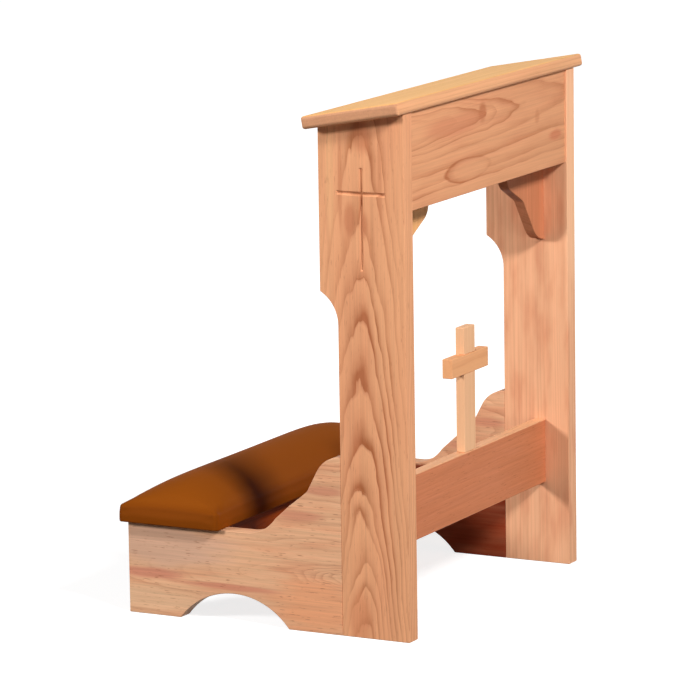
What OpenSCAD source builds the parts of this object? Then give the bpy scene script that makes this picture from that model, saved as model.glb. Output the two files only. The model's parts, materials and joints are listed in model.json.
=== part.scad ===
// Oak prie-dieu: a free-standing prayer desk with a padded kneeler.
// X runs across the desk, +Y points to the kneeler at the rear, and Z is up.
// The origin lies on the floor, under the middle of the whole piece.
// Heights are taken from the floor, and depths from the front edges of the uprights.
// Angles are degrees, all other sizes are millimetres.

/* [Frame] */
// Width over the outer faces of the two sides
frame_w = 596; // [500:1:720]
// Depth of a side at the floor, from the upright's front edge to the rear edge
side_depth = 488; // [450:1:560]
// Height of the uprights at their front edges
front_h = 803; // [740:1:880]
// Thickness of the side boards
side_t = 28; // [24:0.5:34]

/* [Uprights] */
// Width of an upright below its cove
upright_w = 114; // [100:1:130]
// Width of the head of an upright, under the desk top
head_w = 144; // [140:1:160]
// Height of the corner where the head of an upright starts
head_z = 529; // [500:1:560]
// Radius of the cove that leads up to the head
cove_r = 57; // [40:1:80]

/* [Incised crosses] */
// Height of the incised cross on each outer face
mark_h = 157; // [100:1:180]
// Width of the incised cross
mark_w = 83; // [50:1:100]
// Height of the top of the incised cross
mark_top_z = 720; // [690:1:730]
// Drop from the top of the incised cross to its arm
mark_arm_drop = 39.5; // [30:0.5:60]
// Width of the V groove
groove_w = 7; // [4:0.5:9]
// Depth of the V groove
groove_depth = 3.2; // [2:0.1:5]

/* [Desk top] */
// Thickness of the desk top
top_t = 20; // [18:0.5:28]
// Depth of the desk top, along its slope
top_depth = 166; // [160:1:190]
// Slope of the desk top, down to the kneeler
top_slope = 10; // [4:0.5:12]
// Overhang of the desk top past each side
top_side_overhang = 24.5; // [10:0.5:40]
// Overhang of the desk top past the front edges of the uprights, along its slope
top_front_overhang = 6; // [2:0.5:20]
// Radius of the rounded edges and corners of the desk top
top_nose_r = 6; // [2:0.5:8]

/* [Apron and book shelf] */
// Thickness of the apron
apron_t = 19; // [16:0.5:24]
// Height of the apron's front face
apron_h = 148; // [120:1:170]
// Set-back of the apron from the front edges of the uprights
apron_setback = 3; // [1:0.5:8]
// Thickness of the book shelf
shelf_t = 16; // [12:0.5:20]
// Rise of the shelf's underside above the apron's lower edge
shelf_rise = 6; // [2:0.5:20]
// Set-back of the shelf from the rear edges of the heads
shelf_rear_setback = 6; // [2:0.5:20]
// Depth of the grooves in the uprights that hold the shelf
housing_depth = 8; // [5:0.5:10]

/* [Brackets] */
// Thickness of a bracket
bracket_t = 17; // [12:0.5:22]
// Reach of a bracket along the shelf
bracket_reach = 134; // [120:1:160]
// Set-back of the brackets from the front edges of the uprights
bracket_setback = 41; // [30:1:60]
// Depth of the square nose of a bracket
bracket_nose = 14; // [8:1:20]
// Radius of the round belly under the nose
bracket_belly_r = 26; // [18:1:30]
// Length of the flat stretch behind the belly
bracket_flat = 44; // [30:1:50]
// Radius of the hollow
bracket_hollow_r = 24; // [16:1:30]
// Radius of the swelling at the foot
bracket_foot_r = 48; // [30:1:55]
// Length of the last straight stretch, up to the upright
bracket_toe = 8; // [4:1:12]

/* [Front rail and standing cross] */
// Thickness of the front rail
rail_t = 19; // [16:0.5:24]
// Height of the front rail
rail_h = 103; // [80:1:120]
// Height of the front rail's lower edge
rail_z = 133; // [110:1:170]
// Set-back of the front rail from the front edges of the uprights
rail_setback = 41; // [30:1:60]
// Width of the cross's post
post_w = 38; // [28:1:44]
// Thickness of the cross's post
post_t = 15; // [12:0.5:17]
// Height of the cross's post above the rail
post_h = 197; // [150:1:240]
// Set-back of the post from the rail's front face
post_setback = 1; // [0.5:0.5:2]
// Length of the cross's arm
arm_l = 127; // [90:1:150]
// Height of the cross's arm
arm_h = 30.5; // [22:0.5:36]
// Extra thickness of the arm, so that it stands proud of both faces of the post
arm_extra = 2; // [1:0.5:4]
// Drop from the top of the post to the top of the arm
arm_drop = 42.5; // [30:0.5:60]

/* [Kneeler sides] */
// Height of the level seat that carries the pad
seat_z = 145; // [125:1:160]
// Height at which the swept upper edge meets the upright
sweep_z = 276; // [270:1:310]
// Radius of the shoulder at the top of the sweep
shoulder_r = 46; // [36:1:56]
// Radius of the notch below the shoulder
notch_r = 20; // [12:1:28]
// Radius of the long bowed stretch
bow_r = 480; // [400:5:500]
// Radius of the heel below the bowed stretch
heel_r = 14; // [8:1:20]
// Radius of the toe that runs out into the seat
toe_r = 60; // [40:1:66]
// Chord of the arch at the floor
arch_chord = 190; // [150:1:220]
// Rise of the arch
arch_rise = 46.5; // [35:0.5:60]
// Depth of the middle of the arch
arch_y = 302; // [280:1:320]

/* [Kneeler] */
// Depth of the kneeler pad
pad_depth = 177.5; // [160:0.5:190]
// Overhang of the pad past each side
pad_side_overhang = 13; // [5:0.5:20]
// Overhang of the pad past the rear edges of the sides
pad_rear_overhang = 11.5; // [5:0.5:20]
// Thickness of the pad at its edge, with its board
pad_edge = 27; // [24:0.5:34]
// Rise of the crown above the edge
pad_crown = 38; // [20:1:44]
// Radius of the rounded upper edge of the pad
pad_nose_r = 8; // [5:0.5:10]
// Radius of the pad's corners, seen from above
pad_corner_r = 9; // [7:0.5:14]
// Draw-in of the pad's sides between the corners
pad_draw = 2; // [0.5:0.5:3]
// Thickness of the pad's plywood board
pad_board_t = 12; // [9:0.5:15]
// Thickness of the pad's cover
cover_t = 1.2; // [0.8:0.1:1.6]
// Width of the cover's hem, turned under the board
hem_w = 20; // [12:1:22]
// Thickness of the two rails between the kneeler sides
kneeler_rail_t = 19; // [16:0.5:22]
// Height of the two rails between the kneeler sides
kneeler_rail_h = 64; // [50:1:80]
// Set-back of the front one of these rails from the pad's front edge
kneeler_front_setback = 24; // [23:1:30]
// Set-back of the rear one from the rear edges of the sides
kneeler_rear_setback = 24; // [12:1:30]

/* [Cleats, dowels and screws] */
// Width and height of the cleats under the desk top
top_cleat_t = 20; // [16:0.5:24]
// Length of the cleats under the desk top
top_cleat_l = 100; // [80:1:105]
// Set-back of these cleats from the front edges of the uprights, along the slope
top_cleat_setback = 34; // [28:1:36]
// Width and height of the cleats under the pad
pad_cleat_t = 20; // [16:0.5:24]
// Diameter of the dowels
dowel_d = 8; // [6:0.5:10]
// Length of the dowels
dowel_l = 40; // [30:1:44]
// Length of a dowel that lies in a side board
dowel_in_side = 18; // [12:1:20]
// Diameter of the screws' heads
screw_head_d = 8; // [6:0.5:9]
// Height of the screws' countersunk heads
screw_head_h = 3; // [2:0.5:4]
// Diameter of the screws' shanks
screw_d = 4; // [3:0.5:5]
// Length of the screws' points
screw_tip = 4; // [2:0.5:5]
// Depth that a screw reaches into the piece that it holds
screw_bite = 10; // [6:0.5:11]

/* [Hidden] */
$fn = 48;
// Overrun of every cut past the face that it opens
overrun = 1;
// Play of a panel in its housing
housing_play = 0.2;
// Play round a dowel or a screw, and past each end of a dowel
pin_play = 0.1;
pin_end_play = 1;
// Play between the foam, the board and the cover that holds them
pad_play = 0.3;
// Play between the pad's cleats and the rails at their ends
cleat_play = 1;

outer_x = frame_w / 2;
inner_x = outer_x - side_t;
cove_z = head_z - sqrt(cove_r * cove_r - pow(cove_r - head_w + upright_w, 2));
desk_front = (top_nose_r - top_front_overhang) * cos(top_slope) + top_nose_r * sin(top_slope) - top_nose_r;
pad_back = side_depth + pad_rear_overhang;
centre_y = (desk_front + pad_back) / 2;

// The underside of the desk top falls to the rear
function underside_z(y) = front_h - y * tan(top_slope);

// Apron, shelf and brackets
apron_z = underside_z(apron_setback) - apron_h;
apron_back = apron_setback + apron_t;
shelf_z = apron_z + shelf_rise;
shelf_back = head_w - shelf_rear_setback;

// Headings of the stretches of a bracket's curve, below the level
bracket_belly_end = 27;
bracket_slope = 54;
bracket_foot_end = 10;
function arc_run(r, a, b) = r * abs(sin(b) - sin(a));
function arc_fall(r, a, b) = r * abs(cos(a) - cos(b));
bracket_slope_l = (bracket_reach
    - arc_run(bracket_belly_r, 90, bracket_belly_end)
    - bracket_flat * cos(bracket_belly_end)
    - arc_run(bracket_hollow_r, bracket_belly_end, bracket_slope)
    - arc_run(bracket_foot_r, bracket_slope, bracket_foot_end)
    - bracket_toe * cos(bracket_foot_end)) / cos(bracket_slope);
// Each stretch is a radius and its first and last heading, or a length and one heading twice
bracket_curve = [
    [bracket_nose, 90, 90],
    [bracket_belly_r, 90, bracket_belly_end],
    [bracket_flat, bracket_belly_end, bracket_belly_end],
    [bracket_hollow_r, bracket_belly_end, bracket_slope],
    [bracket_slope_l, bracket_slope, bracket_slope],
    [bracket_foot_r, bracket_slope, bracket_foot_end],
    [bracket_toe, bracket_foot_end, bracket_foot_end]
];
bracket_drop = -chain(bracket_curve, 0, 0)[len(chain(bracket_curve, 0, 0)) - 1][1];

// Headings of the stretches of the sweep on a kneeler side, below the level
sweep_steep = 62;
sweep_notch_end = 36;
sweep_bow_end = 44;
sweep_heel_end = 54;
sweep_steep_l = (sweep_z - seat_z
    - arc_fall(shoulder_r, 0, sweep_steep)
    - arc_fall(notch_r, sweep_steep, sweep_notch_end)
    - arc_fall(bow_r, sweep_notch_end, sweep_bow_end)
    - arc_fall(heel_r, sweep_bow_end, sweep_heel_end)
    - arc_fall(toe_r, sweep_heel_end, 0)) / sin(sweep_steep);
sweep_curve = [
    [shoulder_r, 0, sweep_steep],
    [sweep_steep_l, sweep_steep, sweep_steep],
    [notch_r, sweep_steep, sweep_notch_end],
    [bow_r, sweep_notch_end, sweep_bow_end],
    [heel_r, sweep_bow_end, sweep_heel_end],
    [toe_r, sweep_heel_end, 0]
];
arch_r = (pow(arch_chord / 2, 2) + pow(arch_rise, 2)) / (2 * arch_rise);

// Standing cross
rail_top = rail_z + rail_h;
rail_y = rail_setback + rail_t / 2;
post_y = rail_setback + post_setback + post_t / 2;
arm_z = rail_top + post_h - arm_drop - arm_h;

// Kneeler
pad_a = outer_x + pad_side_overhang;
pad_b = pad_depth / 2;
pad_y = pad_back - pad_b;
kneeler_front_y = pad_back - pad_depth + kneeler_front_setback;
kneeler_rear_y = side_depth - kneeler_rear_setback - kneeler_rail_t;
kneeler_rail_z = seat_z - kneeler_rail_h;
pad_cleat_y = kneeler_front_y + kneeler_rail_t + cleat_play;
pad_cleat_l = kneeler_rear_y - cleat_play - pad_cleat_y;

// Places of the dowels and screws, as shares of what they hold
two_pin_shares = [0.25, 0.75];
three_pin_shares = [0.15, 0.5, 0.85];
joint_pin_shares = [0.14, 0.38, 0.62, 0.84];
bracket_pin_shares = [0.16, 0.5];
cleat_up_shares = [0.12, 0.5, 0.88];
cleat_side_shares = [0.31, 0.69];
pad_cleat_up_shares = [0.15, 0.85];
pad_cleat_side_shares = [0.38, 0.62];
function places(start, size, shares) = [for (s = shares) start + size * s];

pin_x = inner_x + dowel_in_side - dowel_l / 2;
rail_pins = [for (z = places(rail_z, rail_h, two_pin_shares)) [rail_y, z]];
apron_pins = [for (z = places(apron_z, apron_h, three_pin_shares)) [apron_setback + apron_t / 2, z]];
bracket_pins = [for (z = places(shelf_z, -bracket_drop, bracket_pin_shares))
    [bracket_setback + bracket_t / 2, z]];
kneeler_pins = [for (y = [kneeler_front_y, kneeler_rear_y])
    for (z = places(kneeler_rail_z, kneeler_rail_h, two_pin_shares)) [y + kneeler_rail_t / 2, z]];
joint_pins = places(0, sweep_z, joint_pin_shares);

// Shape of the crown: high powers keep it full almost to the edge
crown_end_power = 8;
crown_side_power = 1.8;
function crown(x, y) = pad_crown
    * (1 - pow(min(1, abs(x) / pad_a), crown_end_power))
    * (1 - pow(min(1, abs(y) / pad_b), crown_side_power));

oak = [0.86, 0.60, 0.42];
oak_light = [0.93, 0.70, 0.50];
birch = [0.88, 0.74, 0.55];
vinyl = [0.52, 0.27, 0.08];
foam_yellow = [0.93, 0.86, 0.62];
steel = [0.62, 0.63, 0.65];

// Points of one stretch of a curve that starts at x, z
function stretch(step, x, z) = let (
        length_or_r = step[0],
        a = step[1],
        b = step[2],
        pieces = a == b ? 1 : ceil(abs(b - a) / 4))
    [for (i = [1 : pieces]) let (h = a + (b - a) * i / pieces)
        a == b
            ? [x + length_or_r * cos(a), z - length_or_r * sin(a)]
            : [x + arc_run(length_or_r, a, h), z - arc_fall(length_or_r, a, h)]];

// Points of a whole curve, one stretch after the other
function chain(steps, x, z, k = 0) = k == len(steps)
    ? [[x, z]]
    : let (points = stretch(steps[k], x, z), last = points[len(points) - 1])
        concat([[x, z]], [for (i = [0 : 1 : len(points) - 2]) points[i]], chain(steps, last[0], last[1], k + 1));

module in_place() translate([0, -centre_y, 0]) children();

// The frame of the desk top: its underside is level there, from the front edges of the uprights
module in_slope() translate([0, 0, front_h]) rotate([-top_slope, 0, 0]) children();

module both_sides() {
    children();
    mirror([1, 0, 0]) children();
}

// A board whose outline lies in the side view, from x towards +X
module side_board(x, thickness) translate([x, 0, 0]) rotate([90, 0, 90]) linear_extrude(thickness) children();

// A board whose outline lies in the front view, from y towards +Y
module front_board(y, thickness) translate([0, y + thickness, 0]) rotate([90, 0, 0])
    linear_extrude(thickness) children();

// A dowel on the X axis, and its bore with play all round
module dowel() rotate([0, 90, 0]) cylinder(h = dowel_l, d = dowel_d, center = true);
module dowel_bore() rotate([0, 90, 0])
    cylinder(h = dowel_l + 2 * pin_end_play, d = dowel_d + 2 * pin_play, center = true);

// What stands at each dowel between the +X side board and the piece inside it
module at_side_pins(pins) for (p = pins) translate([pin_x, p[0], p[1]]) children();

// What stands at each dowel of the butt joint in the +X side
module at_joint_pins() for (z = joint_pins) translate([outer_x - side_t / 2, upright_w, z])
    rotate([0, 0, 90]) children();

// A countersunk wood screw on +Z, with its head's flat face at z = 0
module screw(length, play = 0) rotate_extrude() polygon([
    [0, -play],
    [screw_head_d / 2 + play, -play],
    [screw_head_d / 2 + play, 0],
    [screw_d / 2 + play, screw_head_h],
    [screw_d / 2 + play, length - screw_tip],
    [0, length + play]
]);

module at_desk_top_screws() in_slope()
    for (y = places(top_cleat_setback, top_cleat_l, cleat_up_shares))
        translate([inner_x - top_cleat_t / 2, y, -top_cleat_t]) children();

module at_top_cleat_screws() in_slope()
    for (y = places(top_cleat_setback, top_cleat_l, cleat_side_shares))
        translate([inner_x - top_cleat_t, y, -top_cleat_t / 2]) rotate([0, 90, 0]) children();

module at_pad_screws() for (y = places(pad_cleat_y, pad_cleat_l, pad_cleat_up_shares))
    translate([inner_x - pad_cleat_t / 2, y, seat_z - pad_cleat_t]) children();

module at_pad_cleat_screws() for (y = places(pad_cleat_y, pad_cleat_l, pad_cleat_side_shares))
    translate([inner_x - pad_cleat_t, y, seat_z - pad_cleat_t / 2]) rotate([0, 90, 0]) children();

// A V groove along Y in a face at z = 0, with ends that slope like its flanks
module groove(length) intersection() {
    rotate([90, 0, 0]) linear_extrude(length, center = true) polygon([
        [-groove_w / 2, overrun],
        [-groove_w / 2, 0],
        [0, -groove_depth],
        [groove_w / 2, 0],
        [groove_w / 2, overrun]
    ]);
    rotate([90, 0, 90]) linear_extrude(groove_w, center = true) polygon([
        [-length / 2, overrun],
        [-length / 2, 0],
        [groove_w / 2 - length / 2, -groove_depth],
        [length / 2 - groove_w / 2, -groove_depth],
        [length / 2, 0],
        [length / 2, overrun]
    ]);
}

// The incised cross on the outer face of the +X upright
module incised_cross() translate([outer_x, head_w / 2, mark_top_z]) rotate([0, 90, 0]) {
    translate([mark_h / 2, 0, 0]) rotate([0, 0, 90]) groove(mark_h);
    translate([mark_arm_drop, 0, 0]) groove(mark_w);
}

module upright_outline() difference() {
    union() {
        square([upright_w, front_h]);
        translate([0, cove_z]) square([head_w, front_h - cove_z]);
    }
    translate([upright_w + cove_r, cove_z]) circle(cove_r, $fn = 96);
    translate([0, front_h]) rotate(-top_slope) translate([-head_w, 0]) square([3 * head_w, head_w]);
}

module upright() difference() {
    side_board(inner_x, side_t) upright_outline();
    incised_cross();
    translate([inner_x - overrun, apron_back, shelf_z])
        cube([housing_depth + overrun, shelf_back - apron_back, shelf_t + housing_play]);
    at_side_pins(rail_pins) dowel_bore();
    at_side_pins(apron_pins) dowel_bore();
    at_side_pins(bracket_pins) dowel_bore();
    at_joint_pins() dowel_bore();
    at_top_cleat_screws() screw(top_cleat_t + screw_bite, pin_play);
}

module right_upright() color(oak) in_place() upright();
module left_upright() color(oak) in_place() mirror([1, 0, 0]) upright();

module kneeler_side_outline() difference() {
    polygon(concat(
        [[side_depth, seat_z], [side_depth, 0], [upright_w, 0]],
        chain(sweep_curve, upright_w, sweep_z)));
    translate([arch_y, arch_rise - arch_r]) circle(arch_r, $fn = 144);
}

module kneeler_side() difference() {
    side_board(inner_x, side_t) kneeler_side_outline();
    at_side_pins(kneeler_pins) dowel_bore();
    at_joint_pins() dowel_bore();
    at_pad_cleat_screws() screw(pad_cleat_t + screw_bite, pin_play);
}

module right_kneeler_side() color(oak_light) in_place() kneeler_side();
module left_kneeler_side() color(oak_light) in_place() mirror([1, 0, 0]) kneeler_side();

// A rectangle with round corners, centred
module round_rectangle(w, h, r) {
    square([w - 2 * r, h], center = true);
    square([w, h - 2 * r], center = true);
    for (x = [-1, 1]) for (y = [-1, 1]) translate([x * (w / 2 - r), y * (h / 2 - r)]) circle(r);
}

module desk_top() color(oak_light) in_place() difference() {
    in_slope() translate([0, top_depth / 2 - top_front_overhang, top_t / 2]) intersection() {
        top_w = frame_w + 2 * top_side_overhang;
        linear_extrude(top_t, center = true) round_rectangle(top_w, top_depth, top_nose_r);
        rotate([90, 0, 90]) linear_extrude(top_w, center = true) round_rectangle(top_depth, top_t, top_nose_r);
        rotate([90, 0, 0]) linear_extrude(top_depth, center = true) round_rectangle(top_w, top_t, top_nose_r);
    }
    both_sides() at_desk_top_screws() screw(top_cleat_t + screw_bite, pin_play);
}

module apron() color(oak) in_place() difference() {
    side_board(-inner_x, 2 * inner_x) polygon([
        [apron_setback, apron_z],
        [apron_back, apron_z],
        [apron_back, underside_z(apron_back)],
        [apron_setback, underside_z(apron_setback)]
    ]);
    both_sides() at_side_pins(apron_pins) dowel_bore();
}

module book_shelf() color(oak) in_place()
    translate([housing_play - housing_depth - inner_x, apron_back, shelf_z])
        cube([2 * (inner_x + housing_depth - housing_play), shelf_back - apron_back, shelf_t]);

module bracket() difference() {
    front_board(bracket_setback, bracket_t) polygon(concat(
        [[inner_x, shelf_z]],
        chain(bracket_curve, inner_x - bracket_reach, shelf_z)));
    at_side_pins(bracket_pins) dowel_bore();
}

module right_bracket() color(oak) in_place() bracket();
module left_bracket() color(oak) in_place() mirror([1, 0, 0]) bracket();

module at_cross_dowel() translate([0, post_y, rail_top]) rotate([0, 90, 0]) children();

module front_rail() color(oak) in_place() difference() {
    translate([-inner_x, rail_setback, rail_z]) cube([2 * inner_x, rail_t, rail_h]);
    both_sides() at_side_pins(rail_pins) dowel_bore();
    at_cross_dowel() dowel_bore();
}

// The post and the arm are half-lapped: the post keeps its rear half, the arm its front half
module cross_post() color(oak_light) in_place() difference() {
    translate([-post_w / 2, post_y - post_t / 2, rail_top]) cube([post_w, post_t, post_h]);
    translate([-post_w / 2 - overrun, post_y - post_t, arm_z]) cube([post_w + 2 * overrun, post_t, arm_h]);
    at_cross_dowel() dowel_bore();
}

module cross_arm() color(oak_light) in_place() difference() {
    arm_t = post_t + arm_extra;
    translate([-arm_l / 2, post_y - arm_t / 2, arm_z]) cube([arm_l, arm_t, arm_h]);
    translate([-post_w / 2, post_y, arm_z - overrun]) cube([post_w, arm_t, arm_h + 2 * overrun]);
}

module kneeler_rail(y) in_place() difference() {
    translate([-inner_x, y, kneeler_rail_z]) cube([2 * inner_x, kneeler_rail_t, kneeler_rail_h]);
    both_sides() at_side_pins(kneeler_pins) dowel_bore();
}

module kneeler_front_rail() color(oak) kneeler_rail(kneeler_front_y);
module kneeler_rear_rail() color(oak) kneeler_rail(kneeler_rear_y);

// The board has a shallow step round its underside that takes the cover's hem
module kneeler_board() color(birch) in_place() difference() {
    inset = cover_t + pad_play;
    translate([0, pad_y, seat_z]) union() {
        translate([0, 0, cover_t]) linear_extrude(pad_board_t - cover_t)
            round_rectangle(2 * (pad_a - inset), pad_depth - 2 * inset, pad_corner_r - inset);
        linear_extrude(2 * cover_t)
            round_rectangle(2 * (pad_a - hem_w - pad_play), pad_depth - 2 * (hem_w + pad_play), pad_corner_r);
    }
    both_sides() at_pad_screws() screw(pad_cleat_t + screw_bite, pin_play);
}

// Places along the straight stretches of the pad's outline, as shares of their half lengths
long_side_shares = [-0.86, -0.72, -0.45, 0, 0.45, 0.72, 0.86];
short_side_shares = [-0.6, -0.2, 0.2, 0.6];
corner_angles = [0, 30, 60, 90];

// The outline runs counterclockwise, and its second half is the first one turned by half a turn
function half_outline(a, b, r) = concat(
    [for (s = short_side_shares) [a, s * (b - r)]],
    [for (t = corner_angles) [a - r + r * cos(t), b - r + r * sin(t)]],
    [for (s = long_side_shares) [-s * (a - r), b]],
    [for (t = corner_angles) [r - a - r * sin(t), b - r + r * cos(t)]]);
function outline(a, b, r) = let (half = half_outline(a, b, r)) concat(half, [for (p = half) -p]);

// The sides are drawn in most half way between the corners
function drawn(p, amount) = [
    p[0] - sign(p[0]) * amount * (1 - pow(min(1, abs(p[1]) / pad_b), 2)) * pow(abs(p[0]) / pad_a, 4),
    p[1] - sign(p[1]) * amount * (1 - pow(min(1, abs(p[0]) / pad_a), 2)) * pow(abs(p[1]) / pad_b, 4)];

// One ring of the pad: inset from the edge, height, draw-in, and share of the crown
function ring(inset, z, draw, swell) = [for (p = outline(pad_a - inset, pad_b - inset,
        max(pad_corner_r - inset, pad_corner_r / 4)))
    let (q = drawn(p, draw)) [q[0], q[1], z + swell * crown(q[0], q[1])]];

nose_angles = [0, 30, 60, 90];
crown_inset_shares = [0.17, 0.31, 0.5, 0.7, 0.88];

// The ridge along the middle: one point for each end and for each place along the long sides
function ridge(skin) = [for (s = concat([1], -long_side_shares, [-1]))
    let (x = s * (pad_a - pad_b)) [x, 0, pad_edge - skin + crown(x, 0)]];

// Rings of the padded surface from the top of its board up to the ridge, skin deep below the cover
function padded_rings(skin) = concat(
    [ring(skin, pad_board_t, 0, 0)],
    [for (t = nose_angles) ring(
        skin + (pad_nose_r - skin) * (1 - cos(t)),
        pad_edge - pad_nose_r + (pad_nose_r - skin) * sin(t),
        pad_draw, 1)],
    [for (s = crown_inset_shares) ring(pad_b * s, pad_edge - skin, pad_draw, 1)],
    [ridge(skin)]);

function reversed(list) = [for (i = [len(list) - 1 : -1 : 0]) list[i]];

// The number of the point that stands for place i of the outline on level k, which is a ring or a ridge
half_n = len(half_outline(pad_a, pad_b, pad_corner_r));
before_long = len(short_side_shares) + len(corner_angles);
ridge_end = len(long_side_shares) + 1;
function first_of(levels, k) = k == 0 ? 0 : first_of(levels, k - 1) + len(levels[k - 1]);
function ridge_place(i) = let (place = min(ridge_end, max(0, i % half_n - before_long + 1)))
    i < half_n ? place : ridge_end - place;
function point_of(levels, k, i) = first_of(levels, k) + (len(levels[k]) == 2 * half_n ? i : ridge_place(i));

// A closed solid over levels that follow each other; a ring at its start gets a flat lid
module lofted(levels) {
    n = 2 * half_n;
    walls = [for (k = [0 : len(levels) - 2]) for (i = [0 : n - 1]) let (
            j = (i + 1) % n,
            a = point_of(levels, k, i),
            b = point_of(levels, k + 1, i),
            c = point_of(levels, k + 1, j),
            d = point_of(levels, k, j))
        each concat(b == c ? [] : [[a, b, c]], a == d ? [] : [[a, c, d]])];
    // The lid fans out from a point inside a round corner, so that none of its triangles is flat
    pivot = len(short_side_shares) + 1;
    lid = [for (i = [1 : n - 2]) [pivot, (pivot + i) % n, (pivot + i + 1) % n]];
    polyhedron([for (level = levels) each level], concat(walls, len(levels[0]) == n ? lid : []), convexity = 4);
}

module kneeler_foam() color(foam_yellow) in_place() translate([0, pad_y, seat_z])
    lofted(padded_rings(cover_t + pad_play));

// From the inner surface down, round the hem and up the outer surface
module kneeler_cover() color(vinyl) in_place() translate([0, pad_y, seat_z])
    lofted(concat(
        reversed(padded_rings(cover_t)),
        [ring(cover_t, cover_t, 0, 0)],
        [ring(hem_w, cover_t, 0, 0)],
        [ring(hem_w, 0, 0, 0)],
        [ring(0, 0, 0, 0)],
        padded_rings(0)));

module top_cleat() in_place() difference() {
    in_slope() translate([inner_x - top_cleat_t, top_cleat_setback, -top_cleat_t])
        cube([top_cleat_t, top_cleat_l, top_cleat_t]);
    at_desk_top_screws() screw(top_cleat_t + screw_bite, pin_play);
    at_top_cleat_screws() screw(top_cleat_t + screw_bite, pin_play);
}

module right_top_cleat() color(oak) top_cleat();
module left_top_cleat() color(oak) mirror([1, 0, 0]) top_cleat();

module pad_cleat() in_place() difference() {
    translate([inner_x - pad_cleat_t, pad_cleat_y, seat_z - pad_cleat_t])
        cube([pad_cleat_t, pad_cleat_l, pad_cleat_t]);
    at_pad_screws() screw(pad_cleat_t + screw_bite, pin_play);
    at_pad_cleat_screws() screw(pad_cleat_t + screw_bite, pin_play);
}

module right_pad_cleat() color(oak) pad_cleat();
module left_pad_cleat() color(oak) mirror([1, 0, 0]) pad_cleat();

module side_joint_dowels() color(birch) in_place() both_sides() at_joint_pins() dowel();
module rail_dowels() color(birch) in_place() both_sides() at_side_pins(rail_pins) dowel();
module apron_dowels() color(birch) in_place() both_sides() at_side_pins(apron_pins) dowel();
module bracket_dowels() color(birch) in_place() both_sides() at_side_pins(bracket_pins) dowel();
module cross_dowel() color(birch) in_place() at_cross_dowel() dowel();
module kneeler_rail_dowels() color(birch) in_place() both_sides() at_side_pins(kneeler_pins) dowel();
module top_cleat_screws() color(steel) in_place() both_sides() at_top_cleat_screws()
    screw(top_cleat_t + screw_bite);
module desk_top_screws() color(steel) in_place() both_sides() at_desk_top_screws()
    screw(top_cleat_t + screw_bite);
module pad_cleat_screws() color(steel) in_place() both_sides() at_pad_cleat_screws()
    screw(pad_cleat_t + screw_bite);
module pad_screws() color(steel) in_place() both_sides() at_pad_screws() screw(pad_cleat_t + screw_bite);

left_upright();
right_upright();
left_kneeler_side();
right_kneeler_side();
desk_top();
apron();
book_shelf();
left_bracket();
right_bracket();
front_rail();
cross_post();
cross_arm();
kneeler_front_rail();
kneeler_rear_rail();
kneeler_board();
kneeler_foam();
kneeler_cover();
left_top_cleat();
right_top_cleat();
left_pad_cleat();
right_pad_cleat();
side_joint_dowels();
rail_dowels();
apron_dowels();
bracket_dowels();
cross_dowel();
kneeler_rail_dowels();
top_cleat_screws();
desk_top_screws();
pad_cleat_screws();
pad_screws();
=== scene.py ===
"""Oak prie-dieu with a padded kneeler, seen from its front left corner."""
import json
import math

import bmesh
import bpy
import numpy as np
from mathutils import Matrix, Vector


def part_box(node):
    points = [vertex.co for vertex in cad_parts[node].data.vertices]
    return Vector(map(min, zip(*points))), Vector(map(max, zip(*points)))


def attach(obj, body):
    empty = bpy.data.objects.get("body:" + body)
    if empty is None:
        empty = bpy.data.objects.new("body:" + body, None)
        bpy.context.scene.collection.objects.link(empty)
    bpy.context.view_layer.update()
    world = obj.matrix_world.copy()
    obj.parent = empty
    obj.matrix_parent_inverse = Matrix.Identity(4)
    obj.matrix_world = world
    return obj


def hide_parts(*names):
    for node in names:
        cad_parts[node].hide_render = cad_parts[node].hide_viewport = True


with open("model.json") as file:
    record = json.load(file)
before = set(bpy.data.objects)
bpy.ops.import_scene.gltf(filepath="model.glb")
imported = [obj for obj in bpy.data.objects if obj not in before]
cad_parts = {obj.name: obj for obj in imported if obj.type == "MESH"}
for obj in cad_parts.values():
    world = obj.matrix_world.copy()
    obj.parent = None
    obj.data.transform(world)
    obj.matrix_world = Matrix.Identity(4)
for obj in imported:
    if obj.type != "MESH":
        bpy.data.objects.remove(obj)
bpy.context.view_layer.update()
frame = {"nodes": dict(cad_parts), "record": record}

MM = 0.001


def colour(red, green, blue):
    """A colour as a shader takes it, from its values between 0 and 255 on a screen."""
    share = np.array([red, green, blue]) / 255
    linear = np.where(share <= 0.04045, share / 12.92, ((share + 0.055) / 1.055) ** 2.4)
    return (*linear.tolist(), 1.0)


class Value:
    """A number or colour on its way through a material; sums on it add Math nodes."""

    def __init__(self, nodes, socket):
        self.nodes = nodes
        self.socket = socket

    def math(self, operation, *others):
        """A Math node on this value and the others."""
        return self.nodes.node("ShaderNodeMath", inputs=[self, *others], operation=operation)

    def __add__(self, other):
        return self.math("ADD", other)

    __radd__ = __add__

    def __mul__(self, other):
        return self.math("MULTIPLY", other)

    __rmul__ = __mul__

    def __sub__(self, other):
        return self.math("SUBTRACT", other)

    def __rsub__(self, other):
        return self.nodes.node("ShaderNodeMath", inputs=[other, self], operation="SUBTRACT")

    def __truediv__(self, other):
        return self.math("DIVIDE", other)

    def __pow__(self, other):
        return self.math("POWER", other)


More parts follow.
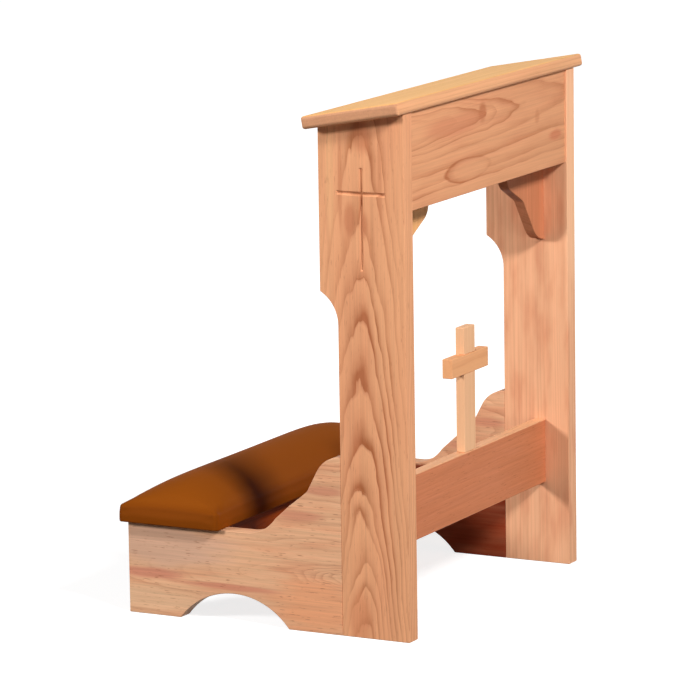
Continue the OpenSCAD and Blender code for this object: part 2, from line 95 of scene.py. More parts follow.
class Nodes:
    """The nodes of a material or of the world, under construction."""

    def __init__(self, owner):
        owner.use_nodes = True
        self.tree = owner.node_tree
        self.tree.nodes.clear()

    def put(self, socket, value):
        """Links a value to a socket, or sets the socket to a plain number or colour."""
        if isinstance(value, Value):
            self.tree.links.new(value.socket, socket)
        else:
            socket.default_value = value

    def node(self, kind, inputs=(), output=0, **settings):
        """One node: its settings first, then the values or links of its sockets, by place or by name."""
        made = self.tree.nodes.new(kind)
        stops = settings.pop("stops", None)
        interpolation = settings.pop("interpolation", None)
        for name, value in settings.items():
            setattr(made, name, value)
        if stops:
            ramp = made.color_ramp
            ramp.interpolation = interpolation
            while len(ramp.elements) < len(stops):
                ramp.elements.new(1.0)
            for element, (place, level) in zip(ramp.elements, stops):
                element.position = place
                element.color = (level, level, level, 1.0)
        pairs = inputs.items() if isinstance(inputs, dict) else enumerate(inputs)
        for key, value in pairs:
            self.put(made.inputs[key], value)
        return Value(self, made.outputs[output])

    def end(self, kind, surface):
        """The output node, with the surface that it shows."""
        self.put(self.tree.nodes.new(kind).inputs["Surface"], surface)

    def point(self):
        """The place on the piece, in metres."""
        return self.node("ShaderNodeTexCoord", output="Object")

    def place(self):
        """The three coordinates of the place on the piece, in metres."""
        point = self.point()
        return [self.node("ShaderNodeSeparateXYZ", [point], output=k) for k in range(3)]

    def vector(self, x, y, z):
        """A vector or a colour from three numbers."""
        return self.node("ShaderNodeCombineXYZ", [x, y, z])

    def noise(self, place, scale=1.0, detail=2.0, roughness=0.5):
        """Noise between 0 and 1, around 0.5."""
        return self.node(
            "ShaderNodeTexNoise",
            {"Vector": place, "Scale": scale, "Detail": detail, "Roughness": roughness},
            noise_dimensions="3D",
        )

    def line_noise(self, place, detail=0.0):
        """Noise between 0 and 1 along one number."""
        return self.node(
            "ShaderNodeTexNoise",
            {"W": place, "Scale": 1.0, "Detail": detail},
            noise_dimensions="1D",
        )

    def ramp(self, value, stops, interpolation="LINEAR"):
        """The level of the stops, pairs of place and level, at value."""
        return self.node("ShaderNodeValToRGB", [value], stops=stops, interpolation=interpolation)

    def step(self, value, low, high, first=0.0, last=1.0):
        """A smooth step from first to last while value goes from low to high."""
        return self.node(
            "ShaderNodeMapRange",
            {"Value": value, "From Min": low, "From Max": high, "To Min": first, "To Max": last},
            interpolation_type="SMOOTHSTEP",
        )

    def mix(self, share, first, second, blend="MIX"):
        """The first colour where share is 0, and the second where it is 1."""
        return self.node(
            "ShaderNodeMix",
            {"Factor": share, 6: first, 7: second},
            output=2,
            data_type="RGBA",
            blend_type=blend,
        )

    def bump(self, height, strength=1.0):
        """A normal from a height in metres."""
        return self.node("ShaderNodeBump", {"Height": height, "Strength": strength, "Distance": 1.0})


class Finish(Nodes):
    """A material under construction."""

    def __init__(self, name, **surface):
        self.material = bpy.data.materials.new(name)
        super().__init__(self.material)
        self.surface = self.tree.nodes.new("ShaderNodeBsdfPrincipled")
        self.end("ShaderNodeOutputMaterial", Value(self, self.surface.outputs[0]))
        self.set(**surface)

    def set(self, **surface):
        """Sets sockets of the surface; an underscore in a name stands for a space."""
        for name, value in surface.items():
            self.put(self.surface.inputs[name.replace("_", " ")], value)


# Darkness across one year ring: a sharp start at the early wood, then a slow fade outwards
RING_FADE = [
    (0.0, 1.0), (0.1, 0.85), (0.25, 0.5), (0.45, 0.2), (0.7, 0.05), (0.92, 0.0), (0.98, 0.4), (1.0, 1.0),
]
# Darkness across an oval figure, from its middle to its outline, and how far that reaches
OVAL_EDGE = [(0.0, 0.1), (0.55, 0.15), (0.8, 0.6), (0.9, 1.0), (1.0, 0.0)]
OVAL_REACH = 1.15
# Counts in a metre, along the grain and across it
RIPPLES = (20.0, 170.0)
PALE_SPOTS = (6.0, 30.0)
OVAL_RAGS = (9.0, 30.0)
STAIN_RAGS = (14.0, 60.0)
INNER_SHADE_SPOTS = (9.0, 90.0)
PORES = (70.0, 1500.0)
FLECKS = (55.0, 600.0)
FINE_LINES = (7.0, 420.0)
BROAD_LINES = (3.0, 90.0)
RIPPLE_HEIGHT = 0.9 * MM
# Distances across the board from the heart: the tips of the arches, and where rings pale on either side
TIP_REACH = 18 * MM
FAR_SIDE = (-10 * MM, 40 * MM)
NEAR_SIDE = (-70 * MM, -45 * MM)
RED_PATCH = colour(211, 134, 98)
OPEN_PORE = colour(140, 80, 48)


class Oak(Finish):
    """Oak, with its coordinates along the grain, across the board and into it."""

    def __init__(self, name, axes, turn, seed):
        super().__init__(name, Specular_IOR_Level=0.08)
        self.seed = seed
        xyz = dict(zip("xyz", self.place()))
        self.along, across, into = (xyz[axis] for axis in axes)
        self.across = across * math.cos(turn) + into * math.sin(turn)
        self.into = into * math.cos(turn) - across * math.sin(turn)

    def grain(self, lengthwise, crosswise, detail=2.0, roughness=0.5):
        """Noise around zero that is drawn out along the grain; its scales are counts in a metre."""
        place = self.vector(
            self.across * crosswise + self.seed,
            self.into * crosswise,
            self.along * lengthwise + self.seed,
        )
        return self.noise(place, detail=detail, roughness=roughness) - 0.5

    def off(self, along, across, length, height):
        """The square of the distance to a place, counted in the length and height of a figure there."""
        u = (self.along - along) / length
        v = (self.across - across) / height
        return u * u + v * v

    def ring_count(self, radius, rings):
        """How many year rings lie within a radius."""
        if isinstance(rings, float):
            ring = radius / rings
            return ring + (self.line_noise(ring * 0.45 + self.seed) - 0.5) * 1.6
        first, last, count = rings[0], rings[-1], len(rings) - 1
        stops = [((edge - first) / (last - first), k / count) for k, edge in enumerate(rings)]
        beyond = (radius - last).math("MAXIMUM", 0.0) - (first - radius).math("MAXIMUM", 0.0)
        return (self.ramp((radius - first) / (last - first), stops) + beyond / (last - first)) * count

    def strength(self, ring, strengths):
        """How dark a ring is: from strengths for the first ones, and by chance for the others."""
        chance = self.line_noise(ring.math("FLOOR") * 0.73 + (self.seed + 5.5))
        other = self.step(chance, 0.35, 0.65, 0.45, 1.0)
        if not strengths:
            return other
        known = len(strengths)
        levels = [(k / known, level) for k, level in enumerate(strengths)]
        chosen = self.ramp(ring / known, levels, "CONSTANT")
        return self.mix(ring.math("LESS_THAN", float(known)), other, chosen)

    def late_wood(self, ring, sideways, strengths, inward, apex, soft, ovals):
        """How dark the late wood is, by the count of rings and the distance across from the heart."""
        past = ring.math("FRACT")
        late = self.ramp(1.0 - past if inward else past, RING_FADE) * self.strength(ring, strengths)
        late = late * self.step(self.grain(*PALE_SPOTS), -0.25, 0.15, 0.35, 1.0)
        off_heart = sideways / TIP_REACH
        late = late * (((off_heart * off_heart) * -1.0).math("EXPONENT") * apex + (1 - apex / 2))
        late = late * self.step(sideways, *FAR_SIDE, 1.0, 1.0 - soft[0])
        late = late * self.step(sideways, *NEAR_SIDE, 1.0 - soft[1], 1.0)
        for figure in ovals:
            edge = self.off(*figure) ** 0.5 + self.grain(*OVAL_RAGS) * 0.5
            fade = self.step(self.along - figure[0], -figure[2], figure[2], 1.0, 0.2)
            late = late * self.step(edge, 0.85, 1.1) + self.ramp(edge / OVAL_REACH, OVAL_EDGE) * fade
        return late

    def stained(self, base, tone, along, across, length, height, amount):
        """Another colour in a bell curve round a place."""
        bell = (self.off(along, across, length, height) * -1.0).math("EXPONENT")
        share = self.step(bell + self.grain(*STAIN_RAGS) * 0.5, 0.2, 0.8) * amount
        return self.mix(share, base, colour(*tone))

    def with_top_light(self, base, direction, limit, tone):
        """Painted light: a lighter colour on the top face, at the far limit of the direction across or
        into.
        """
        level = {"across": self.across, "into": self.into}[direction]
        share = self.step(level, limit - 2 * MM, limit - 0.5 * MM) * 0.85
        return self.mix(share, base, colour(*tone))

    def ended(self, base, limit, tone):
        """Another colour at both ends of the board."""
        share = self.step(self.along.math("ABSOLUTE"), limit - 3 * MM, limit - 0.5 * MM) * 0.7
        return self.mix(share, base, colour(*tone))

    def with_inner_shade(self, base, limit, height, tone):
        """Painted shade: a darker colour on the face that looks inwards, up to a height."""
        share = self.step(self.into.math("ABSOLUTE"), limit + 2 * MM, limit + 1 * MM)
        share = share * self.step(self.across, height, height - 6 * MM)
        share = share * (0.9 + self.grain(*INNER_SHADE_SPOTS) * 0.3)
        return self.mix(share, base, colour(*tone))


def oak(
    name, axes, heart, rings, tilt=0.0, turn=0.0, wave=1.5 * MM, wave_length=0.12,
    light=(223, 157, 114), dark=(170, 101, 63), depth=1.0, strengths=(), inward=False,
    apex=0.0, soft=(0.0, 0.0), ovals=(), stains=(), painted_top_light=None, ends=None, painted_inner_shade=None,
    patches=(4.0, 16.0), blush=0.3, flecks=0.0, streaks=1.0, seed=0.0,
):
    """Red oak sawn from a tilted trunk.

    axes names the coordinates along the grain, across the board and into it, and turn turns the last two
    about the first. heart is the place of the trunk's axis across the board and into it. The distance to
    that axis, which changes by tilt for each metre along the board, is counted in year rings: between
    the radii in rings, and evenly beyond them, or all of one width where rings is a number. It wavers by
    wave in each wave_length.

    light and dark are the colours of early and late wood, and depth is how far late wood darkens.
    strengths says how dark the first rings are, and the others are dark by chance. The dark line of a ring
    fades outwards, or inwards where inward is set. apex darkens the rings where they cross the heart, and
    soft pales them on its far and on its near side. An oval has its place and half its length and height.

    A stain is a bell curve of another colour: the colour, its place, half its length and height, and its
    strength. painted_top_light paints light on the top face as a lighter colour: it has the coordinate,
    its limit and the colour. ends give the ends another colour: the limit and the colour.
    painted_inner_shade paints shade on the face that looks inwards, up to a height, as a darker colour:
    its distance from the middle of the piece, the height and the colour.

    patches are the counts of pale red patches in a metre along and across, and blush is their strength.
    flecks is the darkness of the short dashes that open pores leave, and streaks the strength of the
    fine lines.
    """
    wood = Oak(name, axes, turn, seed)
    warp = wood.grain(1 / wave_length, 2.5 / wave_length) * (4 * wave)
    warp = warp + wood.grain(*RIPPLES) * RIPPLE_HEIGHT
    sideways = wood.across - heart[0]
    inwards = wood.into - heart[1] + wood.along * tilt
    radius = (sideways * sideways + inwards * inwards) ** 0.5 + warp
    ring = wood.ring_count(radius, rings)
    late = wood.late_wood(ring, sideways, strengths, inward, apex, soft, ovals)
    pores = wood.step(wood.grain(*PORES, detail=1.0), 0.06, 0.22) * (late * 0.8 + 0.2)
    streak = wood.grain(*FINE_LINES, detail=3.0, roughness=0.6) + wood.grain(*BROAD_LINES) * 0.7
    share = late * depth + pores * (0.2 * depth)
    base = wood.mix(share, colour(*light), colour(*dark))
    base = wood.mix(wood.step(wood.grain(*patches, detail=3.0), -0.1, 0.25) * blush, base, RED_PATCH)
    for stain in stains:
        base = wood.stained(base, *stain)
    if painted_top_light:
        base = wood.with_top_light(base, *painted_top_light)
    if ends:
        base = wood.ended(base, *ends)
    if flecks:
        base = wood.mix(wood.step(wood.grain(*FLECKS), 0.13, 0.22) * flecks, base, OPEN_PORE)
    if painted_inner_shade:
        base = wood.with_inner_shade(base, *painted_inner_shade)
    shade = streak * (-0.32 * streaks) + 1.0
    base = wood.mix(1.0, base, wood.vector(shade, shade, shade), blend="MULTIPLY")
    wood.set(
        Base_Color=base,
        Roughness=0.5 + pores * 0.2 + streak * 0.15,
        Normal=wood.bump(pores * (-0.05 * MM) + late * (-0.02 * MM), strength=0.5),
    )
    return wood.material


def applied(piece, name, kind, **settings):
    """Puts a modifier on a piece and applies it at once."""
    modifier = piece.modifiers.new(name, kind)
    for key, value in settings.items():
        setattr(modifier, key, value)
    seen_piece = piece.evaluated_get(bpy.context.evaluated_depsgraph_get())
    piece.data = bpy.data.meshes.new_from_object(seen_piece)
    piece.modifiers.clear()


def read(items, name, width=1, kind=float):
    """One property of all the faces, corners or points of a mesh, one in each row."""
    flat = np.empty(len(items) * width, kind)
    items.foreach_get(name, flat)
    return flat.reshape(-1, width) if width > 1 else flat


# Edges sharper than this stay crisp in the shading, and much sharper ones are rounded
CRISP = math.radians(25)
EASED = math.radians(46)


def shade_softly(mesh):
    """Shades over blunt edges.

    A corner's normal is the sum of those round its point that are within CRISP of its own face's, each
    times its face's area, so that a flat face looks flat to its edge.
    """
    normals = read(mesh.polygons, "normal", 3)
    areas = read(mesh.polygons, "area")
    points = read(mesh.loops, "vertex_index", kind=int)
    faces = np.repeat(np.arange(len(areas)), read(mesh.polygons, "loop_total", kind=int))
    order = np.argsort(points, kind="stable")
    turn = np.arange(len(points)) - np.searchsorted(points[order], points[order])
    around = np.full((len(mesh.vertices), turn.max() + 1), -1)
    around[points[order], turn] = faces[order]
    near = around[points]
    alike = (normals[near] * normals[faces][:, None]).sum(axis=2) > math.cos(CRISP)
    weight = areas[near] * alike * (near >= 0)
    soft = (normals[near] * weight[..., None]).sum(axis=1)
    mesh.normals_split_custom_set((soft / np.linalg.norm(soft, axis=1, keepdims=True)).tolist())


# Radius of the sanded edges, and the bend below which two faces count as one
EASE = 1.2 * MM
FLAT = math.radians(0.6)


def shaped(node, finish):
    """A piece in the place of a node: its mesh merged, and its sharp edges rounded."""
    mesh = frame["nodes"][node].data.copy()
    work = bmesh.new()
    work.from_mesh(mesh)
    bmesh.ops.remove_doubles(work, verts=work.verts, dist=1e-6)
    bmesh.ops.dissolve_limit(work, angle_limit=FLAT, verts=work.verts, edges=work.edges)
    work.to_mesh(mesh)
    work.free()
    mesh.materials.clear()
    mesh.materials.append(finish)
    piece = bpy.data.objects.new(node + "_piece", mesh)
    bpy.context.collection.objects.link(piece)
    applied(
        piece, "eased edges", "BEVEL", width=EASE, segments=4, limit_method="ANGLE", angle_limit=EASED,
        use_clamp_overlap=False, loop_slide=False,
    )
    piece.data.shade_smooth()
    shade_softly(piece.data)
    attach(piece, "root")
    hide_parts(node)


def finished(node, material):
    """Gives a node that keeps its shape its finish."""
    for slot in frame["nodes"][node].material_slots:
        slot.material = material


SLOTS = {part["node"]: part["material_slot"] for part in frame["record"]["subparts"]}

# The faces and the level that the boards' year rings and stains are placed by
outer_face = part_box("left_upright")[0].x
inner_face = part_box("left_kneeler_side")[1].x
front_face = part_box("left_upright")[0].y
apron_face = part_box("apron")[0].y
rail_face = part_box("front_rail")[0].y
rail_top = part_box("front_rail")[1].z
SEAT_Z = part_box("kneeler_board")[0].z
DESK_SLOPE = math.radians(10)


def radii(*values):
    """Ring radii in metres, from millimetres."""
    return [value * MM for value in values]


# Nested arches that point up, over a heart that leans away from the face towards the top
left_oak = oak(
    "oak of the left upright", "zyx", heart=(front_face + 78 * MM, outer_face + 75 * MM), tilt=-0.06,
    rings=radii(
        76.5, 79.5, 82.2, 86.2, 88.4, 93, 98.4, 104.1, 108.5, 112.7,
        120.2, 126, 132, 138, 144, 150, 156, 162,
    ),
    stains=[
        ((196, 124, 86), 768 * MM, front_face + 70 * MM, 28 * MM, 18 * MM, 0.7),
        ((194, 122, 86), 640 * MM, front_face + 92 * MM, 26 * MM, 11 * MM, 0.7),
        ((194, 122, 86), 632 * MM, front_face + 68 * MM, 22 * MM, 7 * MM, 0.6),
        ((232, 174, 126), 700 * MM, front_face + 124 * MM, 110 * MM, 8 * MM, 0.6),
        ((198, 128, 90), 700 * MM, front_face + 107 * MM, 90 * MM, 4 * MM, 0.6),
        ((200, 130, 92), 705 * MM, front_face + 40 * MM, 80 * MM, 4 * MM, 0.5),
        ((210, 134, 94), 30 * MM, front_face + 82 * MM, 50 * MM, 22 * MM, 0.6),
    ],
    strengths=(0.6, 0.6, 0.6, 0.8, 1.0, 1.0, 1.0, 1.0, 0.8, 0.8, 0.8, 0.5, 0.35, 0.55, 0.3, 0.5, 0.3),
    light=(231, 166, 122), dark=(164, 95, 58), depth=1.2, apex=0.35, soft=(0.62, 0.6), flecks=0.3,
    wave=2 * MM, seed=1.0,
)
# Faint straight grain with small reddish patches
right_oak = oak(
    "oak of the right upright", "zyx", heart=(front_face - 0.12, -outer_face + 0.05), tilt=0.01,
    rings=6.5 * MM,
    stains=[((252, 194, 152), 640 * MM, front_face, 240 * MM, 7 * MM, 0.9)],
    light=(240, 179, 138), dark=(206, 140, 102), depth=0.5, patches=(9.0, 45.0), blush=0.6, streaks=0.7,
    seed=4.0,
)
# Blunt arches that point to the right, over long waves and an oval figure
apron_oak = oak(
    "oak of the apron", "xzy", heart=(771 * MM, apron_face + 36 * MM), tilt=-0.06,
    rings=radii(20, 28, 34, 38, 42.5, 53, 74, 92, 103, 125),
    strengths=(0.3, 0.9, 0.3, 0.9, 0.6, 0.9, 0.7, 1.0, 0.3, 0.2),
    ovals=[(-78 * MM, 692 * MM, 70 * MM, 17 * MM)], inward=True,
    stains=[
        ((186, 112, 74), -26 * MM, 773 * MM, 15 * MM, 18 * MM, 0.8),
        ((204, 128, 92), -130 * MM, 765 * MM, 110 * MM, 18 * MM, 0.6),
        ((206, 124, 88), 235 * MM, 704 * MM, 24 * MM, 8 * MM, 0.8),
        ((201, 132, 92), 168 * MM, 742 * MM, 9 * MM, 13 * MM, 0.6),
    ],
    light=(224, 159, 116), dark=(176, 104, 64), depth=0.9, wave=3 * MM, apex=0.2,
    patches=(6.0, 30.0), blush=0.3, seed=2.0,
)
# Short arches that point to the rear, red bands, a greyer end, and painted shade on the inner face below
# the seat
side_oak = oak(
    "oak of the kneeler sides", "yzx", heart=(88 * MM, outer_face + 24 * MM), tilt=-0.11,
    rings=radii(8, 11, 13, 15, 18, 22, 27, 34, 42, 50, 58, 66, 75, 84, 94, 105, 116, 128, 140, 160),
    strengths=(
        1.0, 0.8, 1.0, 0.7, 0.7, 0.4, 0.15, 0.2, 0.3, 0.15,
        0.5, 0.2, 0.4, 0.2, 0.6, 0.2, 0.5, 0.3, 0.6, 0.3,
    ),
    stains=[
        ((210, 166, 138), 190 * MM, 112 * MM, 150 * MM, 38 * MM, 1.0),
        ((226, 182, 144), 200 * MM, 25 * MM, 100 * MM, 20 * MM, 0.8),
        ((206, 138, 110), 215 * MM, 66 * MM, 80 * MM, 10 * MM, 1.0),
        ((208, 140, 110), 60 * MM, 57 * MM, 100 * MM, 6 * MM, 1.0),
        ((229, 158, 115), -90 * MM, 40 * MM, 80 * MM, 50 * MM, 0.8),
        ((206, 138, 108), -60 * MM, 180 * MM, 45 * MM, 9 * MM, 0.8),
        ((206, 138, 108), -100 * MM, 222 * MM, 40 * MM, 9 * MM, 0.8),
    ],
    light=(227, 175, 136), dark=(166, 102, 70), depth=0.75, wave=5 * MM, wave_length=0.1,
    patches=(8.0, 60.0), blush=0.45, flecks=0.6, streaks=1.5,
    # The dark brown on the inner face below the seat is painted shade
    painted_inner_shade=(-inner_face, SEAT_Z, (128, 35, 2)), seed=7.0,
)
# Rings that lie flat in the board, a top face painted lighter and golden as light falling on it, and
# browner ends
desk = read(frame["nodes"]["desk_top"].data.vertices, "co", 3)
desk_into = desk[:, 2] * math.cos(DESK_SLOPE) + desk[:, 1] * math.sin(DESK_SLOPE)
desk_across = desk[:, 1] * math.cos(DESK_SLOPE) - desk[:, 2] * math.sin(DESK_SLOPE)
top_oak = oak(
    "oak of the desk top", "xyz", heart=(float(desk_across.mean()), float(desk_into.min()) - 0.7),
    turn=-DESK_SLOPE, tilt=0.005, rings=6 * MM, wave=0.6 * MM,
    light=(232, 172, 126), dark=(196, 132, 92), depth=0.5, blush=0.2,
    # The lighter golden top face is painted light
    painted_top_light=("into", float(desk_into.max()), (251, 192, 115)),
    ends=(float(desk[:, 0].max()), (188, 134, 102)), seed=9.0,
)
# Reddish straight grain, with painted light on the top edge: a paler colour there
rail_oak = oak(
    "oak of the front rail", "xzy", heart=(60 * MM, rail_face + 0.08), tilt=0.04, rings=9 * MM,
    light=(203, 124, 84), dark=(178, 100, 64), depth=0.3, wave=4 * MM, patches=(14.0, 70.0), flecks=0.4,
    # The paler top edge is painted light
    painted_top_light=("across", rail_top, (232, 176, 132)), seed=3.0,
)
# Brackets with upright grain, two copies of one oak: the right one painted darker and redder as shade, the
# left one paler and golden as light
shade_painted_bracket_oak = oak(
    "oak of the right bracket", "zxy", heart=(0.5, rail_face + 0.1), tilt=0.03, rings=6 * MM,
    light=(204, 130, 92), dark=(176, 102, 68), depth=0.5, seed=5.0,
)
light_painted_bracket_oak = oak(
    "oak of the left bracket", "zxy", heart=(0.5, rail_face + 0.1), tilt=0.03, rings=6 * MM,
    light=(238, 176, 116), dark=(206, 141, 90), depth=0.5, blush=0.1, seed=5.0,
)
# Plain pale grain, upright in the post and level in the arm
post_oak = oak(
    "oak of the cross's post", "zxy", heart=(0.1, rail_face + 0.15), tilt=0.01, rings=9 * MM,
    light=(240, 188, 144), dark=(226, 166, 122), depth=0.5, blush=0.1, streaks=0.4, seed=6.0,
)
arm_oak = oak(
    "oak of the cross's arm", "xzy", heart=(0.3, rail_face + 0.15), tilt=0.01, rings=9 * MM,
    light=(234, 170, 120), dark=(218, 148, 100), depth=0.5, blush=0.1, streaks=0.4, seed=6.0,
)
# Grain of the rails under the pad, painted dark brown as shade, and plain grain of the pieces out of sight
shade_painted_rail_oak = oak(
    "oak of the kneeler rails", "xzy", heart=(0.4, 0.15), tilt=0.03, rings=6 * MM,
    light=(152, 62, 7), dark=(110, 42, 4), depth=0.6, blush=0.0, seed=11.0,
)
plain_oak = oak("plain oak", "xzy", heart=(0.9, 0.15), tilt=0.03, rings=4 * MM, seed=8.0)

BOARDS = {
    left_oak: ("left_upright",),
    right_oak: ("right_upright",),
    apron_oak: ("apron",),
    side_oak: ("left_kneeler_side", "right_kneeler_side"),
    top_oak: ("desk_top",),
    rail_oak: ("front_rail",),
    shade_painted_rail_oak: ("kneeler_front_rail", "kneeler_rear_rail"),
    shade_painted_bracket_oak: ("right_bracket",),
    light_painted_bracket_oak: ("left_bracket",),
    post_oak: ("cross_post",),
    arm_oak: ("cross_arm",),
    plain_oak: ("book_shelf", "left_top_cleat", "right_top_cleat", "left_pad_cleat", "right_pad_cleat"),
}
for wood, nodes in BOARDS.items():
    for node in nodes:
        shaped(node, wood)

# Plywood, with level plies of two tones, and the dowels and screws
PLY = 2.4 * MM
plywood = Finish("birch plywood", Roughness=0.6, Specular_IOR_Level=0.2)
ply_x, ply_y, ply_z = plywood.place()
ply = (ply_z / PLY).math("FRACT").math("GREATER_THAN", 0.5)
figure = plywood.noise(plywood.vector(ply_x * 8.0, ply_y * 60.0, ply_z * 8.0), detail=3.0)
plywood.set(Base_Color=plywood.mix(ply * 0.6 + figure * 0.4, colour(222, 190, 146), colour(190, 150, 106)))
beech = Finish("beech dowels", Base_Color=colour(214, 166, 120), Roughness=0.55, Specular_IOR_Level=0.2)
steel = Finish("zinc-plated steel", Base_Color=colour(196, 198, 200), Roughness=0.35, Metallic=1.0)
for node in SLOTS:
    if node.endswith(("dowels", "dowel")):
        finished(node, beech.material)
    if node.endswith("screws"):
        finished(node, steel.material)
finished("kneeler_board", plywood.material)

# Pad: half its width and depth and its place from the frame, then its smaller sizes
cover_low, cover_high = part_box("kneeler_cover")
PAD_A = (cover_high.x - cover_low.x) / 2
PAD_B = (cover_high.y - cover_low.y) / 2
PAD_Y = (cover_high.y + cover_low.y) / 2
PAD_EDGE = 27 * MM
PAD_CROWN = cover_high.z - SEAT_Z - PAD_EDGE
PAD_CORNER = 9 * MM
PAD_NOSE = 5 * MM
PAD_DRAW = 2 * MM
BOARD = 12 * MM
COVER = 1.2 * MM
HEM = 20 * MM
# Level of the sheet that closes the cover, just inside the board
SHEET_LEVEL = COVER + 0.1 * MM
# Levels of the net round the board and on the foam
BOARD_LEVELS = (1 * MM, 4 * MM, 8 * MM)
FOAM_LEVEL = 16 * MM
# Distance between the points of the net, and how close points are joined
NET = 6 * MM
JOINED = 0.05 * MM
CORNER_TURN = np.radians([22.5, 45, 67.5])
NOSE_TURN = np.radians(np.linspace(0, 90, 5))
# Share of its crown that the pad starts with, the pressure in it, and how far a point may move
START_SHARE = 0.98
PRESSURE = 3
CAP = 1.6 * MM
LAST_FRAME = 20
# Levels above the board between which the vinyl goes from painted shade on its sides to painted light on
# its top
SHADE_TO_LIGHT_LEVELS = (12 * MM, 24 * MM)


def pad_outline(inset):
    """A rectangle with round corners, moved in by inset: corner arcs, joined by evenly spaced points."""
    corner = PAD_CORNER * max(1 - inset / PAD_NOSE, 0)
    half_x, half_y = PAD_A - inset - corner, PAD_B - inset - corner
    across = np.linspace(-1, 1, round(2 * PAD_B / NET))
    along = np.linspace(1, -1, round(2 * PAD_A / NET))
    half = np.concatenate([
        np.stack([np.full_like(across, half_x + corner), half_y * across]),
        np.stack([half_x + corner * np.cos(CORNER_TURN), half_y + corner * np.sin(CORNER_TURN)]),
        np.stack([half_x * along, np.full_like(along, half_y + corner)]),
        np.stack([-half_x - corner * np.sin(CORNER_TURN), half_y + corner * np.cos(CORNER_TURN)]),
    ], axis=1)
    return np.concatenate([half, -half], axis=1)


def pad_ring(inset, height, draw=0.0, crown_share=0.0):
    """The outline on a level, with its sides drawn in and its middle lifted by the crown.

    A side is drawn in by draw times one less the square of the share of the way along it, times the fourth
    power of the share of the way out to it. The crown is its rise times one less the eighth power of the
    share of the way along the pad, times one less the share of the way across it to the power 1.8.
    """
    x, y = pad_outline(inset)
    u, v = np.abs(x / PAD_A), np.abs(y / PAD_B)
    drawn_x = x - np.sign(x) * draw * (1 - v ** 2) * u ** 4
    drawn_y = y - np.sign(y) * draw * (1 - u ** 2) * v ** 4
    crown = PAD_CROWN * (1 - u ** 8) * (1 - v ** 1.8)
    return np.stack([drawn_x, drawn_y + PAD_Y, SEAT_Z + height + crown_share * crown], axis=1)


def loft(name, rings):
    """A mesh over rings of equally many points."""
    count = len(rings[0])
    first = np.arange(count)
    second = np.roll(first, -1)
    steps = np.arange(len(rings) - 1)[:, None] * count
    corners = [steps + first, steps + second, steps + second + count, steps + first + count]
    walls = np.stack(corners, axis=-1)
    mesh = bpy.data.meshes.new(name)
    mesh.from_pydata(np.concatenate(rings).tolist(), [], walls.reshape(-1, 4).tolist())
    return mesh


def added(name, mesh, finish):
    """A new smooth object with one finish."""
    piece = bpy.data.objects.new(name, mesh)
    bpy.context.collection.objects.link(piece)
    mesh.shade_smooth()
    mesh.materials.append(finish)
    return piece


def inflated(piece, held_below):
    """Blows a closed piece up as cloth: the points below a level stay, and none moves further than CAP."""
    rest = read(piece.data.vertices, "co", 3)
    group = piece.vertex_groups.new(name="held by the board")
    group.add(np.flatnonzero(rest[:, 2] < held_below).tolist(), 1.0, "REPLACE")
    cloth = piece.modifiers.new("cloth", "CLOTH")
    cloth.settings.quality = 6
    cloth.settings.mass = 0.3
    cloth.settings.use_pressure = True
    cloth.settings.uniform_pressure_force = PRESSURE
    cloth.settings.effector_weights.gravity = 0
    cloth.settings.vertex_group_mass = group.name
    cloth.point_cache.frame_end = LAST_FRAME
    for moment in range(1, LAST_FRAME + 1):
        bpy.context.scene.frame_set(moment)
    blown_piece = piece.evaluated_get(bpy.context.evaluated_depsgraph_get())
    blown = read(blown_piece.data.vertices, "co", 3)
    piece.modifiers.clear()
    piece.vertex_groups.clear()
    bpy.context.scene.frame_set(1)
    move = blown - rest
    reach = np.linalg.norm(move, axis=1, keepdims=True)
    capped = rest + move * np.minimum(1, CAP / np.maximum(reach, 1e-9))
    piece.data.vertices.foreach_set("co", capped.ravel())
    piece.data.update()


def kneeler_pad(finish):
    """The cover, from inside the board round its hem and over the foam; its low crown is blown up."""
    rings = [pad_ring(inset, SHEET_LEVEL) for inset in (PAD_B, PAD_B / 2, HEM)]
    rings += [pad_ring(inset, 0) for inset in (HEM, HEM / 2, MM)]
    rings += [pad_ring(0, level) for level in BOARD_LEVELS]
    rings += [pad_ring(0, BOARD), pad_ring(0, FOAM_LEVEL, PAD_DRAW / 2)]
    rings += [
        pad_ring(PAD_NOSE * (1 - c), PAD_EDGE - PAD_NOSE * (1 - s), PAD_DRAW, START_SHARE)
        for c, s in zip(np.cos(NOSE_TURN), np.sin(NOSE_TURN))
    ]
    insets = np.linspace(PAD_NOSE, PAD_B, round((PAD_B - PAD_NOSE) / NET) + 1)[1:]
    rings += [pad_ring(inset, PAD_EDGE, PAD_DRAW, START_SHARE) for inset in insets]
    piece = added("pad", loft("pad", rings), finish)
    applied(piece, "joined ridges", "WELD", merge_threshold=JOINED)
    inflated(piece, held_below=SEAT_Z + BOARD + MM / 2)
    applied(piece, "finer net", "SUBSURF", levels=1, render_levels=1)
    piece.data.shade_smooth()
    return piece


# Brown vinyl, painted darker round the sides as shade and lighter on top as light, with a fine grain
vinyl = Finish("brown vinyl", Roughness=0.65, Specular_IOR_Level=0.02)
shade_fade_start, shade_fade_end = (SEAT_Z + BOARD + level for level in SHADE_TO_LIGHT_LEVELS)
vinyl_lit_share = vinyl.step(vinyl.place()[2], shade_fade_start, shade_fade_end)
vinyl_grain = vinyl.noise(vinyl.point(), scale=900.0, detail=1.0) * (0.15 * MM)
vinyl.set(
    Base_Color=vinyl.mix(vinyl_lit_share, colour(123, 60, 9), colour(135, 69, 14)),
    Normal=vinyl.bump(vinyl_grain, strength=0.4),
)
pad = kneeler_pad(vinyl.material)
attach(pad, "root")
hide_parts("kneeler_cover", "kneeler_foam")

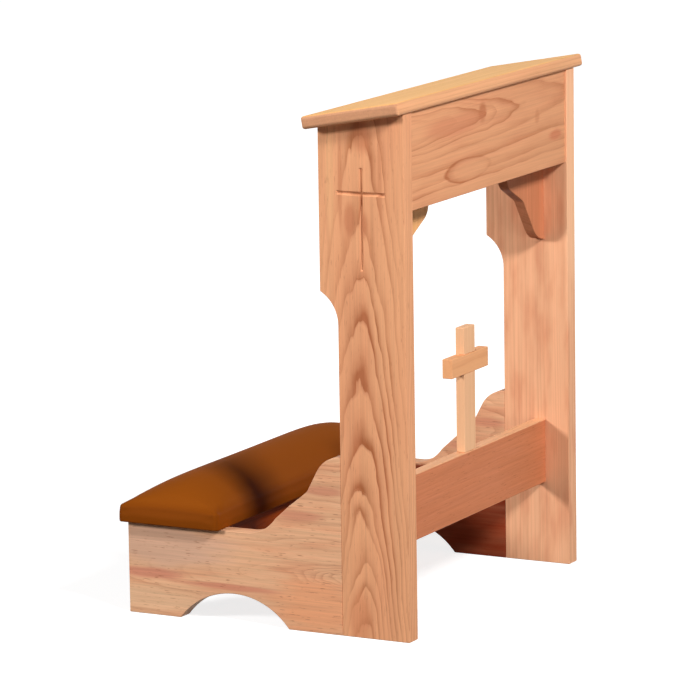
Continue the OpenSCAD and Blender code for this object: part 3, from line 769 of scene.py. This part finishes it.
# Camera: the picture's centre, the direction it looks from, its roll and its distance
AIM = Vector((-23.9, -8.1, 384.9)) * MM
AZIMUTH = math.radians(-62.13)
ELEVATION = math.radians(10.6)
ROLL = math.radians(-0.87)
DISTANCE = 7.2856
LENS = 239.2
back = Vector((
    math.sin(AZIMUTH) * math.cos(ELEVATION),
    -math.cos(AZIMUTH) * math.cos(ELEVATION),
    math.sin(ELEVATION),
))
camera_data = bpy.data.cameras.new("camera")
camera_data.lens = LENS
camera_data.sensor_width = 36
camera_data.clip_end = 60
camera = bpy.data.objects.new("camera", camera_data)
bpy.context.collection.objects.link(camera)
upright_view = back.to_track_quat("Z", "Y").to_matrix().to_4x4()
upright_place = Matrix.Translation(AIM + back * DISTANCE) @ upright_view
camera.matrix_world = upright_place @ Matrix.Rotation(ROLL, 4, "Z")
scene = bpy.context.scene
scene.camera = camera
scene.view_settings.view_transform = "Standard"


# How far the lamps stand from the middle of the piece
LAMP_DISTANCE = 6.0
MIDDLE = Vector((0, 0, 0.4))


def lamp(name, towards, size, level):
    """A square soft lamp that shines along towards at the middle; level is how bright it makes white."""
    data = bpy.data.lights.new(name, "AREA")
    data.shape = "SQUARE"
    data.size = size
    data.energy = level * math.pi ** 2 * LAMP_DISTANCE ** 2
    lit = bpy.data.objects.new(name, data)
    direction = Vector(towards).normalized()
    lit.location = MIDDLE - direction * LAMP_DISTANCE
    lit.rotation_mode = "QUATERNION"
    lit.rotation_quaternion = direction.to_track_quat("-Z", "Y")
    bpy.context.collection.objects.link(lit)


lamp("front lamp", towards=(0.5, 1.0, -0.83), size=1.0, level=0.94)
lamp("low lamp", towards=(0.5, 1.0, 0.0), size=2.0, level=0.245)
lamp("rear lamp", towards=(1.2, -1.0, -0.63), size=1.0, level=0.745)
lamp("right lamp", towards=(-1.0, 0.0, -0.02), size=0.7, level=0.305)


def seen_directly(nodes):
    """1 for what the camera, a mirror or a glass sees, else 0."""
    camera_ray = nodes.node("ShaderNodeLightPath", output="Is Camera Ray")
    mirror_ray = nodes.node("ShaderNodeLightPath", output="Is Glossy Ray")
    glass_ray = nodes.node("ShaderNodeLightPath", output="Is Transmission Ray")
    return camera_ray.math("MAXIMUM", mirror_ray).math("MAXIMUM", glass_ray)


# World: white to the eye, and a weak warm light to the piece
world = bpy.data.worlds.new("studio")
scene.world = world
sky = Nodes(world)
white = sky.node("ShaderNodeBackground", {"Color": (1, 1, 1, 1), "Strength": 1.0})
soft = sky.node("ShaderNodeBackground", {"Color": (1, 0.7, 0.45, 1), "Strength": 0.03})
sky.end("ShaderNodeOutputWorld", sky.node("ShaderNodeMixShader", [seen_directly(sky), soft, white]))

# Floor: white to the eye, with a pale shadow round the piece, and a plain grey to the light
SHADOW_REACH = (0.5, 1.1)
floor_finish = Finish("floor", Roughness=1.0, Specular_IOR_Level=0.0, Emission_Strength=1.0)
seen = seen_directly(floor_finish)
floor_x, floor_y = floor_finish.place()[:2]
away = (floor_x * floor_x + floor_y * floor_y) ** 0.5
glow = floor_finish.step(away, *SHADOW_REACH, 0.8, 1.0) * seen
bounce = seen * 0.4 + 0.05
floor_finish.set(
    Base_Color=floor_finish.vector(bounce, bounce, bounce),
    Emission_Color=floor_finish.vector(glow, glow, glow),
)
REACH = 8.0
corners = [(-REACH, -REACH, 0), (REACH, -REACH, 0), (REACH, REACH, 0), (-REACH, REACH, 0)]
floor_mesh = bpy.data.meshes.new("floor")
floor_mesh.from_pydata(corners, [], [(0, 1, 2, 3)])
floor_mesh.materials.append(floor_finish.material)
floor = bpy.data.objects.new("floor", floor_mesh)
bpy.context.collection.objects.link(floor)
